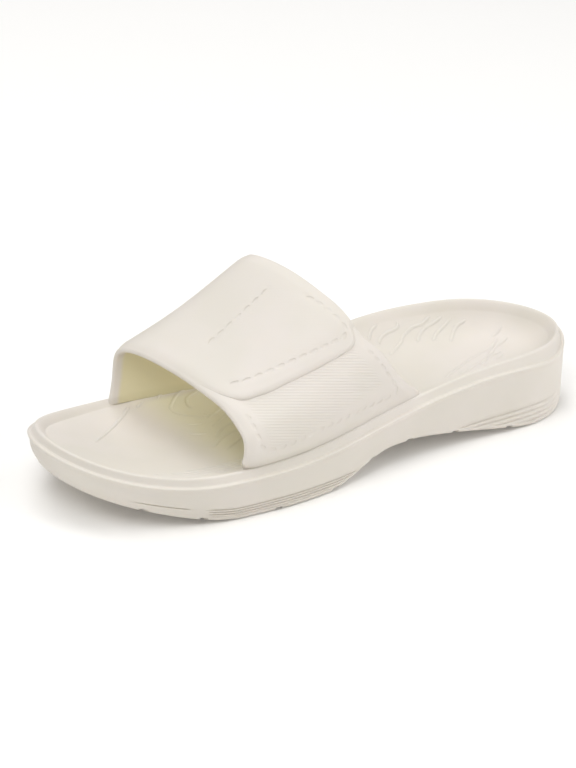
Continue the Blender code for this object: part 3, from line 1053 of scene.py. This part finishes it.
    def tread(self) -> bmesh.types.BMesh:
        """Make the cutters of the tread: grooves to the edge, and fine lines across each lug.

        Returns:
            Mesh of the cutters.
        """
        mesh = bmesh.new()
        places = [(0.5 - along) * self.last.length for along in TREAD]
        for y in places:
            half = self.tread_reach * self.last.ball_width
            self.tread_bar(mesh, y, half, self.tread_width, self.tread_depth)
        for front, back in zip(places, places[1:]):
            for share in (0.25, 0.5, 0.75):
                y = front + (back - front) * share
                half = self.fine_tread_reach * abs(self.last.outline(self.turn_at(y), 0.0)[0])
                self.tread_bar(mesh, y, half, self.fine_tread_width, self.fine_tread_depth)
        return mesh

    def turn_at(self, y: float) -> np.ndarray:
        """Angle of the outline's point on the outer side at a place along Y."""
        return np.array(math.acos(2 * y / self.last.length))

    def rim_line(self, inset: float, start: float, end: float, side: Side) -> np.ndarray:
        """Plan line of the footbed that runs along the rim.

        Args:
            inset: Distance in from the outline.
            start: Share of the length where it starts.
            end: Share of the length where it ends.
            side: Outer or inner side.

        Returns:
            Plan points.
        """
        turns = np.linspace(math.acos(1 - 2 * start), math.acos(1 - 2 * end), 9)
        return self.last.outline(turns * side.value, inset)

    def rib(self, mesh: bmesh.types.BMesh, bed: BVHTree, line: np.ndarray, strength: float) -> None:
        """Lay one raised line on the footbed, tapered at its ends and sunk along its sides.

        Args:
            mesh: Mesh that it is added to.
            bed: Surface of the sole.
            line: Plan points of its middle.
            strength: Share of the full height.
        """
        line = rounded_line(line, self.rib_step, 6)
        sky = 2 * self.last.heel_height
        hits = [bed.ray_cast(Vector((x, y, sky)), Vector((0, 0, -1))) for x, y in line]
        middle = rounded_line(np.array([hit[0] for hit in hits]), self.rib_step, 3)
        ahead = unit(np.gradient(middle, axis=0))
        reach = np.linalg.norm(np.diff(middle, axis=0), axis=1).sum()
        run = np.linspace(0, reach, len(middle))
        taper = ease(np.minimum(run, reach - run) / self.rib_taper)
        top = np.linspace(-1, 1, 7)
        offsets = np.concatenate([top, [0.5, -0.5]])
        profile = np.concatenate([np.cos(top * math.pi / 2) ** 2, [self.rib_root, self.rib_root]])
        heights = profile * self.rib_height * strength
        rings = np.zeros((len(middle), len(offsets), 3))
        for i, point in enumerate(middle):
            side = Vector(ahead[i]).cross(bed.find_nearest(Vector(point))[1])
            for j, offset in enumerate(offsets):
                place = Vector(point) + side * (offset * self.rib_width / 2 * taper[i])
                foot, normal = bed.find_nearest(place)[:2]
                rings[i, j] = foot + normal * (heights[j] * taper[i] - self.rib_sink)
        bend_grid(mesh, rings)

    def ribs(self, bed: BVHTree) -> bmesh.types.BMesh:
        """Make all raised lines of the footbed.

        Args:
            bed: Surface of the sole.

        Returns:
            Mesh of the lines.
        """
        mesh = bmesh.new()
        for row in RIB_LINES:
            self.rib(mesh, bed, np.array(row) * MM, 1.0)
        for number in range(self.rim_lines):
            inset = self.rim_line_inset + self.rim_line_gap * number
            end = self.rim_line_end - self.rim_line_short * number
            line = self.rim_line(inset, self.rim_line_start, end, Side.OUTER)
            self.rib(mesh, bed, line, self.rim_line_strength)
        return mesh

    def under_strap(self, piece: bpy.types.Object) -> np.ndarray:
        """Strength of the painted glow, bounce light from the strap painted into the footbed's colour,
        at a piece's vertices.

        Args:
            piece: The sole or its lines.

        Returns:
            Strengths from 0 to 1.
        """
        x, y, z = corners(piece).T
        along = self.last.share_at(y)
        outer = self.last.on_rim(y, Side.OUTER, self.bead_proud + self.rim_width)
        inner = self.last.on_rim(y, Side.INNER, self.bead_proud + self.rim_width)
        beside = np.minimum(outer[:, 0] - x, x - inner[:, 0])
        upper = z > self.last.underside(y) + self.last.ball_bed / 3
        return hump(along, self.painted_glow_span) * ease(beside / self.painted_glow_fade) * upper

    def build(self) -> None:
        """Model the sole and its footbed lines, and dress them."""
        material = self.finish.material()
        mesh = self.shell()
        bed = BVHTree.FromBMesh(mesh)
        sole = object_from("sole_moulding", mesh, material)
        carve(sole, self.tread())
        # Painted glow: the footbed under the strap is lightened and tinted olive as bounce light would
        mark(sole, "under_strap", self.under_strap(sole))
        shade(sole, self.crease_angle)
        settle(sole, "sole_foam", "sole")
        ribs = object_from("footbed_lines", self.ribs(bed), material)
        mark(ribs, "under_strap", self.under_strap(ribs))
        shade(ribs, self.rib_crease_angle)
        settle(ribs, "sole_foam")


@dataclass
class Strap:
    """The upper: one hollow strap with an overlapping flap, ribbed panels and recessed stitches."""

    last: Last
    sole: Sole
    finish: RibbedFoam
    wall: float = 4.4 * MM
    edge_bulge: float = 1.9 * MM
    flap_step: float = 1.6 * MM
    flap_back: float = 0.982
    flap_back_growth: float = 0.06
    flap_merge: float = 11 * MM
    flap_fade: float = 0.16
    flap_corner: float = 9 * MM
    flap_round: float = 3.0 * MM
    crease: float = 0.08 * MM
    shoulder_drop: float = 0.9 * MM
    shoulder_reach: float = 5 * MM
    crest_shown: float = 1.2 * MM
    foot_sink: float = 3 * MM
    flare: float = 0.6 * MM
    flare_reach: float = 3 * MM
    trough: float = 0.25 * MM
    trough_reach: float = 1.6 * MM
    stitch_length: float = 4.6 * MM
    stitch_width: float = 2.2 * MM
    stitch_depth: float = 0.22 * MM
    stitch_twist: float = 11
    stitch_pitch: float = 5.6 * MM
    arch_length: float = 190 * MM
    growth_start: float = 0.27
    growth_way: float = 0.10
    crease_width: float = 0.7 * MM
    panel_foot: float = 0.10
    panel_foot_fade: float = 0.015
    panel_front: float = 0.11
    panel_back: float = 0.90
    panel_fade: float = 0.02
    rib_margin: float = 8.5 * MM
    rib_margin_fade: float = 2 * MM
    rib_reach: float = 32 * MM
    rib_reach_fade: float = 18 * MM
    flap_rib_front: float = 0.40
    flap_rib_fade: float = 0.25
    flap_rib_back_fade: float = 0.03
    flap_rib_strength: float = 0.8
    # Painted olive shade on the strap's inner face: where it starts and how it fades in from the edges
    painted_shade_start: float = 1 * MM
    painted_shade_fade: float = 2.5 * MM
    columns: int = 64
    front_columns: int = 20
    front_share: float = 0.12
    column_step: float = 0.005
    column_gap: float = 0.003
    near_rings: int = 34
    far_rings: int = 84
    edge_points: int = 7
    crease_angle: float = 60

    def __post_init__(self) -> None:
        """Work out the curves once."""
        place = column(ARCH, "place")
        self.arch_x = natural(place, column(ARCH, "x"))
        self.arch_z = natural(place, column(ARCH, "z"))
        along, height = zip(*CROWN)
        self.crown = natural(along, self.last.instep_height * np.array(height))
        self.front = natural(column(EDGES, "place"), column(EDGES, "front"))
        self.back = natural(column(EDGES, "place"), column(EDGES, "back"))
        self.flap_place = natural(column(FLAP_EDGE, "across"), column(FLAP_EDGE, "place"))
        self.inset = self.sole.bead_proud + self.crest_shown
        self.seams = [self.seam(row, MM) for row in STITCH_ROWS]

    def surface(self, place: np.ndarray, across: np.ndarray) -> np.ndarray:
        """Outer surface of the strap before its relief.

        Args:
            place: Places round the arch, 0 at the outer foot.
            across: Shares of the way from front to back edge.

        Returns:
            Points in three dimensions.
        """
        front = self.front(place)
        along = front + (self.back(place) - front) * across
        y = (0.5 - along) * self.last.length
        outer = self.last.on_rim(y, Side.OUTER, self.inset)
        inner = self.last.on_rim(y, Side.INNER, self.inset)
        share = self.arch_x(place)
        x = np.where(share > 0, share * outer[..., 0], -share * inner[..., 0])
        base = outer[..., 2] + (inner[..., 2] - outer[..., 2]) * place
        return np.stack([x, y, base + self.arch_z(place) * (self.crown(along) - base)], -1)

    def directions(self, place: np.ndarray, across: np.ndarray) -> tuple[np.ndarray, np.ndarray]:
        """Outward normals and front-to-back directions of the surface.

        Args:
            place: Places round the arch.
            across: Shares of the way from front to back edge.

        Returns:
            Normals and directions.
        """
        step = 0.001
        ahead = self.surface(np.clip(place + step, 0, 1), across)
        behind = self.surface(np.clip(place - step, 0, 1), across)
        back_way = self.surface(place, across + step) - self.surface(place, across - step)
        return unit(np.cross(back_way, ahead - behind)), unit(back_way)

    def reaches(self, place: np.ndarray, across: np.ndarray) -> tuple[np.ndarray, np.ndarray]:
        """Local lengths of the whole arch and of the whole way from front to back edge.

        Args:
            place: Places round the arch.
            across: Shares of the way from front to back edge.

        Returns:
            Length for a place of 1, and length for a share of 1.
        """
        step = 0.002
        low = np.clip(place - step, 0, 1)
        high = np.clip(place + step, 0, 1)
        round_way = np.linalg.norm(self.surface(high, across) - self.surface(low, across), axis=-1)
        over_way = self.surface(place, across + step) - self.surface(place, across - step)
        return round_way / (high - low), np.linalg.norm(over_way, axis=-1) / (2 * step)

    def flap_distance(self, place: np.ndarray, across: np.ndarray) -> np.ndarray:
        """Measure how far a place is inside the flap's outline, with its rounded back corner.

        Args:
            place: Places round the arch.
            across: Shares of the way from front to back edge.

        Returns:
            Distances, below 0 outside the flap.
        """
        round_way, over_way = self.reaches(place, across)
        step = 0.004
        slope = (self.flap_place(across + step) - self.flap_place(across - step)) / (2 * step)
        tilt = slope * round_way / over_way
        inside = (place - self.flap_place(across)) * round_way / np.hypot(1, tilt)
        growth = ease((place - self.growth_start) / self.growth_way)
        back = self.flap_back + self.flap_back_growth * growth
        ahead = (back - across) * over_way
        size = self.flap_corner
        corner = np.hypot(np.maximum(size - inside, 0), np.maximum(size - ahead, 0))
        return np.minimum(np.minimum(inside, ahead), size - corner)

    def relief(self, place: np.ndarray, across: np.ndarray) -> np.ndarray:
        """Depth of the outer face under the plain surface.

        Args:
            place: Places round the arch.
            across: Shares of the way from front to back edge.

        Returns:
            Depths: the near layer under the flap, the edges' shoulders and the stitched troughs.
        """
        round_way, over_way = self.reaches(place, across)
        distance = self.flap_distance(place, across)
        past = place - self.flap_place(across) + self.flap_fade
        under = self.flap_step * ease(past / self.flap_fade)
        under = under * ease((across * over_way + self.edge_bulge) / self.flap_merge)
        rolled = np.sqrt(1 - np.clip(1 - distance / self.flap_round, 0, 1) ** 2)
        crease = self.crease * np.exp(-(distance / self.crease_width) ** 2) * (distance < 0)
        crease = crease * under / self.flap_step
        layer = np.where(distance > 0, under * (1 - rolled), under + crease)
        to_edge = np.minimum(across, 1 - across) * over_way
        shoulder = self.shoulder_drop * np.clip(1 - to_edge / self.shoulder_reach, 0, 1) ** 2
        points = self.surface(place, across)
        nearest = np.full(place.shape, np.inf)
        for seam in self.seams:
            gaps = np.linalg.norm(points[..., None, :] - seam[::2, :], axis=-1)
            nearest = np.minimum(nearest, gaps.min(-1))
        trough = self.trough * np.exp(-(nearest / self.trough_reach) ** 2)
        to_foot = np.minimum(place, 1 - place) * round_way
        flare = self.flare * np.clip(1 - to_foot / self.flare_reach, 0, 1) ** 2
        return layer + shoulder + trough - flare

    def seam(self, row: Row, spacing: float) -> np.ndarray:
        """Points of a stitched row on the plain surface."""
        line = self.seam_line(row, spacing)
        return self.surface(line[:, 0], line[:, 1])

    def seam_line(self, row: Row, spacing: float) -> np.ndarray:
        """Places and shares along a stitched row.

        Args:
            row: The row.
            spacing: Distance between points on the strap.

        Returns:
            Places round the arch and shares of the way across, as points by 2.
        """
        fine = rounded_line(np.array(row), 0.002, 30)
        points = self.surface(fine[:, 0], fine[:, 1])
        run = np.concatenate([[0], np.cumsum(np.linalg.norm(np.diff(points, axis=0), axis=1))])
        at = np.arange(0.5 * spacing, run[-1], spacing)
        return np.stack([np.interp(at, run, fine[:, 0]), np.interp(at, run, fine[:, 1])], -1)

    def ribbed(self, place: np.ndarray, across: np.ndarray) -> np.ndarray:
        """Strength of the fine ribs: full in the near panel, fading up the flap.

        Args:
            place: Places round the arch.
            across: Shares of the way from front to back edge.

        Returns:
            Strengths from 0 to 1.
        """
        distance = self.flap_distance(place, across)
        panel = ease((place - self.panel_foot) / self.panel_foot_fade)
        panel = panel * ease((across - self.panel_front) / self.panel_fade)
        panel = panel * ease((self.panel_back - across) / self.panel_fade)
        flap = ease((distance - self.rib_margin) / self.rib_margin_fade)
        flap = flap * ease((self.rib_reach - distance) / self.rib_reach_fade)
        flap = flap * ease((across - self.flap_rib_front) / self.flap_rib_fade)
        flap = flap * ease((self.panel_back - across) / self.flap_rib_back_fade)
        return np.where(distance < 0, panel * ease(-distance / MM), self.flap_rib_strength * flap)

    def wall_ring(
            self, place: np.ndarray, across: np.ndarray) -> tuple[np.ndarray, np.ndarray, np.ndarray]:
        """Closed ring of the wall: outer face, round back edge, inner face, round front edge.

        Args:
            place: Places round the arch.
            across: Shares of the way from front to back edge.

        Returns:
            Points, strength of the ribs, and share of the painted olive shade on the inner face.
        """
        normal, back_way = self.directions(place, across)
        point = self.surface(place, across)
        outer = point - normal * self.relief(place, across)[:, None]
        round_way, over_way = self.reaches(place, across)
        to_edge = np.minimum(across, 1 - across) * over_way
        inner_drop = 0.5 * self.shoulder_drop * np.clip(1 - to_edge / self.shoulder_reach, 0, 1) ** 2
        inner = point - normal * (self.wall - inner_drop)[:, None]
        turns = np.arange(1, self.edge_points + 1) * math.pi / (self.edge_points + 1)
        share = ((1 - np.cos(turns)) / 2)[:, None]
        bulge = (self.edge_bulge * np.sin(turns))[:, None]
        back = outer[-1] + (inner[-1] - outer[-1]) * share + back_way[-1] * bulge
        front = inner[0] + (outer[0] - inner[0]) * share - back_way[0] * bulge
        none = np.zeros(len(turns))
        # The inner face is painted olive as shade and bounce light inside the strap; the foam itself is
        # one cream
        inner_painted_shade = ease((to_edge - self.painted_shade_start) / self.painted_shade_fade)
        ribbed = np.concatenate([self.ribbed(place, across), none, 0 * across, none])
        inside = np.concatenate([0 * across, none, inner_painted_shade[::-1], none])
        return np.concatenate([outer, back, inner[::-1], front]), ribbed, inside

    def foot_ring(self, ring: np.ndarray) -> np.ndarray:
        """Sink a ring a little into the rim's crest.

        Args:
            ring: Lowest ring of the strap's wall.

        Returns:
            Ring of the foot under it.
        """
        points = ring.copy()
        points[:, 2] -= self.foot_sink
        return points

    def shares(self) -> np.ndarray:
        """Space the columns, close together where the flap's back edge steps down.

        Returns:
            Shares of the way from front to back edge, rising.
        """
        front = np.linspace(0, self.front_share, self.front_columns)
        even = np.concatenate([front, np.linspace(self.front_share, 1, self.columns)[1:]])
        edge = self.flap_back + np.array(BACK_COLUMNS) * self.column_step
        edge = edge[(edge > 0) & (edge < 1)]
        clear = np.abs(even[:, None] - edge[None, :]).min(-1) > self.column_gap
        return np.sort(np.concatenate([even[clear], edge]))

    def rings(self) -> tuple[np.ndarray, np.ndarray, np.ndarray]:
        """Rings from the outer foot over the arch to the inner foot.

        Returns:
            Points, strengths of the ribs, and shares of the painted olive shade on the inner face.
        """
        across = self.shares()
        edge = self.flap_place(across)
        near = np.array(NEAR_RINGS) * MM / self.arch_length
        past = np.array(PAST_RINGS) * MM / self.arch_length
        stops = [(edge - near[0]) * share for share in np.linspace(0, 1, self.near_rings)]
        stops += [edge - gap for gap in near[1:]] + [edge + gap for gap in past[:-1]]
        start = edge + past[-1]
        stops += [start + (1 - start) * share for share in np.linspace(0, 1, self.far_rings)]
        made = [self.wall_ring(place, across) for place in stops]
        points, ribbed, inside = (np.array(part) for part in zip(*made))
        points = np.concatenate([[self.foot_ring(points[0])], points, [self.foot_ring(points[-1])]])
        pad = [0] + list(range(len(made))) + [len(made) - 1]
        return points, ribbed[pad], inside[pad]

    def stitches(self) -> bmesh.types.BMesh:
        """Make the cutters of the recessed stitches, one long ball for each.

        Returns:
            Mesh of the cutters.
        """
        mesh = bmesh.new()
        size = Vector((self.stitch_length / 2, self.stitch_width / 2, self.stitch_depth))
        twist = math.radians(self.stitch_twist)
        for row in STITCH_ROWS:
            line = self.seam_line(row, self.stitch_pitch)
            place, across = line[:, 0], line[:, 1]
            normal = self.directions(place, across)[0]
            skin = self.surface(place, across) - normal * self.relief(place, across)[:, None]
            ahead = unit(np.gradient(skin, axis=0))
            for point, out, way in zip(skin, normal, ahead):
                way = np.array(Matrix.Rotation(twist, 3, Vector(out)) @ Vector(way))
                side = np.cross(out, way)
                ball = bmesh.ops.create_uvsphere(mesh, u_segments=12, v_segments=8, radius=1)["verts"]
                bmesh.ops.scale(mesh, vec=size, verts=ball)
                turn = Matrix((way, side, out)).transposed()
                bmesh.ops.rotate(mesh, matrix=turn, verts=ball)
                bmesh.ops.translate(mesh, vec=Vector(point), verts=ball)
        return mesh

    def build(self) -> None:
        """Model the strap and dress it."""
        points, ribbed, inside = self.rings()
        mesh = bmesh.new()
        bend_grid(mesh, points)
        bmesh.ops.holes_fill(mesh, edges=[edge for edge in mesh.edges if edge.is_boundary])
        strap = object_from("strap_moulding", mesh, self.finish.material())
        carve(strap, self.stitches())
        # inside: painted olive shade on the strap's inner face
        paint(strap, points, {"ribbed": ribbed, "inside": inside})
        shade(strap, self.crease_angle)
        settle(strap, "upper_foam", "upper")


@dataclass
class Studio:
    """Plain pale floor, soft light and the camera at the photograph's angle."""

    azimuth: float = 53.61
    elevation: float = 23.88
    roll: float = -2.46
    distance: float = 1.557
    lens: float = 155.7
    aim: tuple[float, float, float] = (-0.0012, 0.0, 0.040)
    shift_x: float = -0.0311
    shift_y: float = -0.0221
    floor_size: float = 12.0
    floor_colour: str = "#F7F6F4"
    floor_glow: float = 0.06
    sky_strength: float = 0.05
    floor_roughness: float = 0.9
    floor_specular: float = 0.1
    light_distance: float = 2.0
    light_size: float = 1.2
    sensor: float = 36
    near_clip: float = 0.05

    def camera(self) -> None:
        """Stand the camera round the aim, turned by its roll."""
        turn, roll = math.radians(self.azimuth), math.radians(self.roll)
        back = bearing(self.elevation, self.azimuth)
        right = Vector((math.cos(turn), math.sin(turn), 0))
        up = back.cross(right)
        across = right * math.cos(roll) - up * math.sin(roll)
        upward = right * math.sin(roll) + up * math.cos(roll)
        data = bpy.data.cameras.new("camera")
        data.sensor_width = self.sensor
        data.sensor_fit = "VERTICAL"
        data.sensor_height = self.sensor
        data.lens = self.lens
        data.shift_x = self.shift_x
        data.shift_y = self.shift_y
        data.clip_start = self.near_clip
        made = link_object("camera", data)
        made.matrix_world = Matrix.Translation(Vector(self.aim) + back * self.distance) @ Matrix(
            (across, upward, back)).transposed().to_4x4()
        bpy.context.scene.camera = made

    def softbox(self, light: Softbox) -> None:
        """Hang one square soft light that faces the shoe.

        Args:
            light: The light, turned round the shoe as the camera is.
        """
        place = self.light_distance * bearing(light.lift, light.turn)
        data = bpy.data.lights.new(light.name, "AREA")
        data.size = self.light_size
        data.energy = light.power
        made = link_object(light.name, data)
        made.location = place
        made.rotation_euler = (Vector(self.aim) - place).to_track_quat("-Z", "Y").to_euler()

    def floor(self) -> None:
        """Lay the floor, matt white paper."""
        material = bpy.data.materials.new("paper_floor")
        material.use_nodes = True
        shader = material.node_tree.nodes["Principled BSDF"]
        shader.inputs["Base Color"].default_value = linear(self.floor_colour)
        shader.inputs["Roughness"].default_value = self.floor_roughness
        shader.inputs["Specular IOR Level"].default_value = self.floor_specular
        shader.inputs["Emission Color"].default_value = linear(self.floor_colour)
        shader.inputs["Emission Strength"].default_value = self.floor_glow
        mesh = bmesh.new()
        bmesh.ops.create_grid(mesh, x_segments=1, y_segments=1, size=self.floor_size / 2)
        floor = object_from("floor", mesh, material)

    def sky(self) -> None:
        """Fill the surroundings with an even white light."""
        world = bpy.data.worlds.new("studio")
        world.use_nodes = True
        shade_node = world.node_tree.nodes["Background"]
        shade_node.inputs["Color"].default_value = (1.0, 1.0, 1.0, 1.0)
        shade_node.inputs["Strength"].default_value = self.sky_strength
        bpy.context.scene.world = world

    def build(self) -> None:
        """Set the whole studio."""
        bpy.context.scene.view_settings.view_transform = "Standard"
        self.camera()
        self.sky()
        self.floor()
        for light in SOFTBOXES:
            self.softbox(light)
        LOG.info("studio set")


def main() -> None:
    """Build the studio, the sole and the strap."""
    logging.basicConfig(level=logging.INFO, format="%(name)s: %(message)s")
    low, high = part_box("sole")
    last = Last(length=high[1] - low[1])
    Studio().build()
    # Sole: painted glow of bounce light under the strap, in #F0EBD4
    sole = Sole(last, MouldedFoam("sole_eva_foam", "under_strap", "#F0EBD4"))
    sole.build()
    # Strap: painted olive shade on its inner face, in #E2DAB7, read from the inside mark
    Strap(last, sole, RibbedFoam("strap_eva_foam", "inside", "#E2DAB7")).build()


if __name__ == "__main__":
    main()
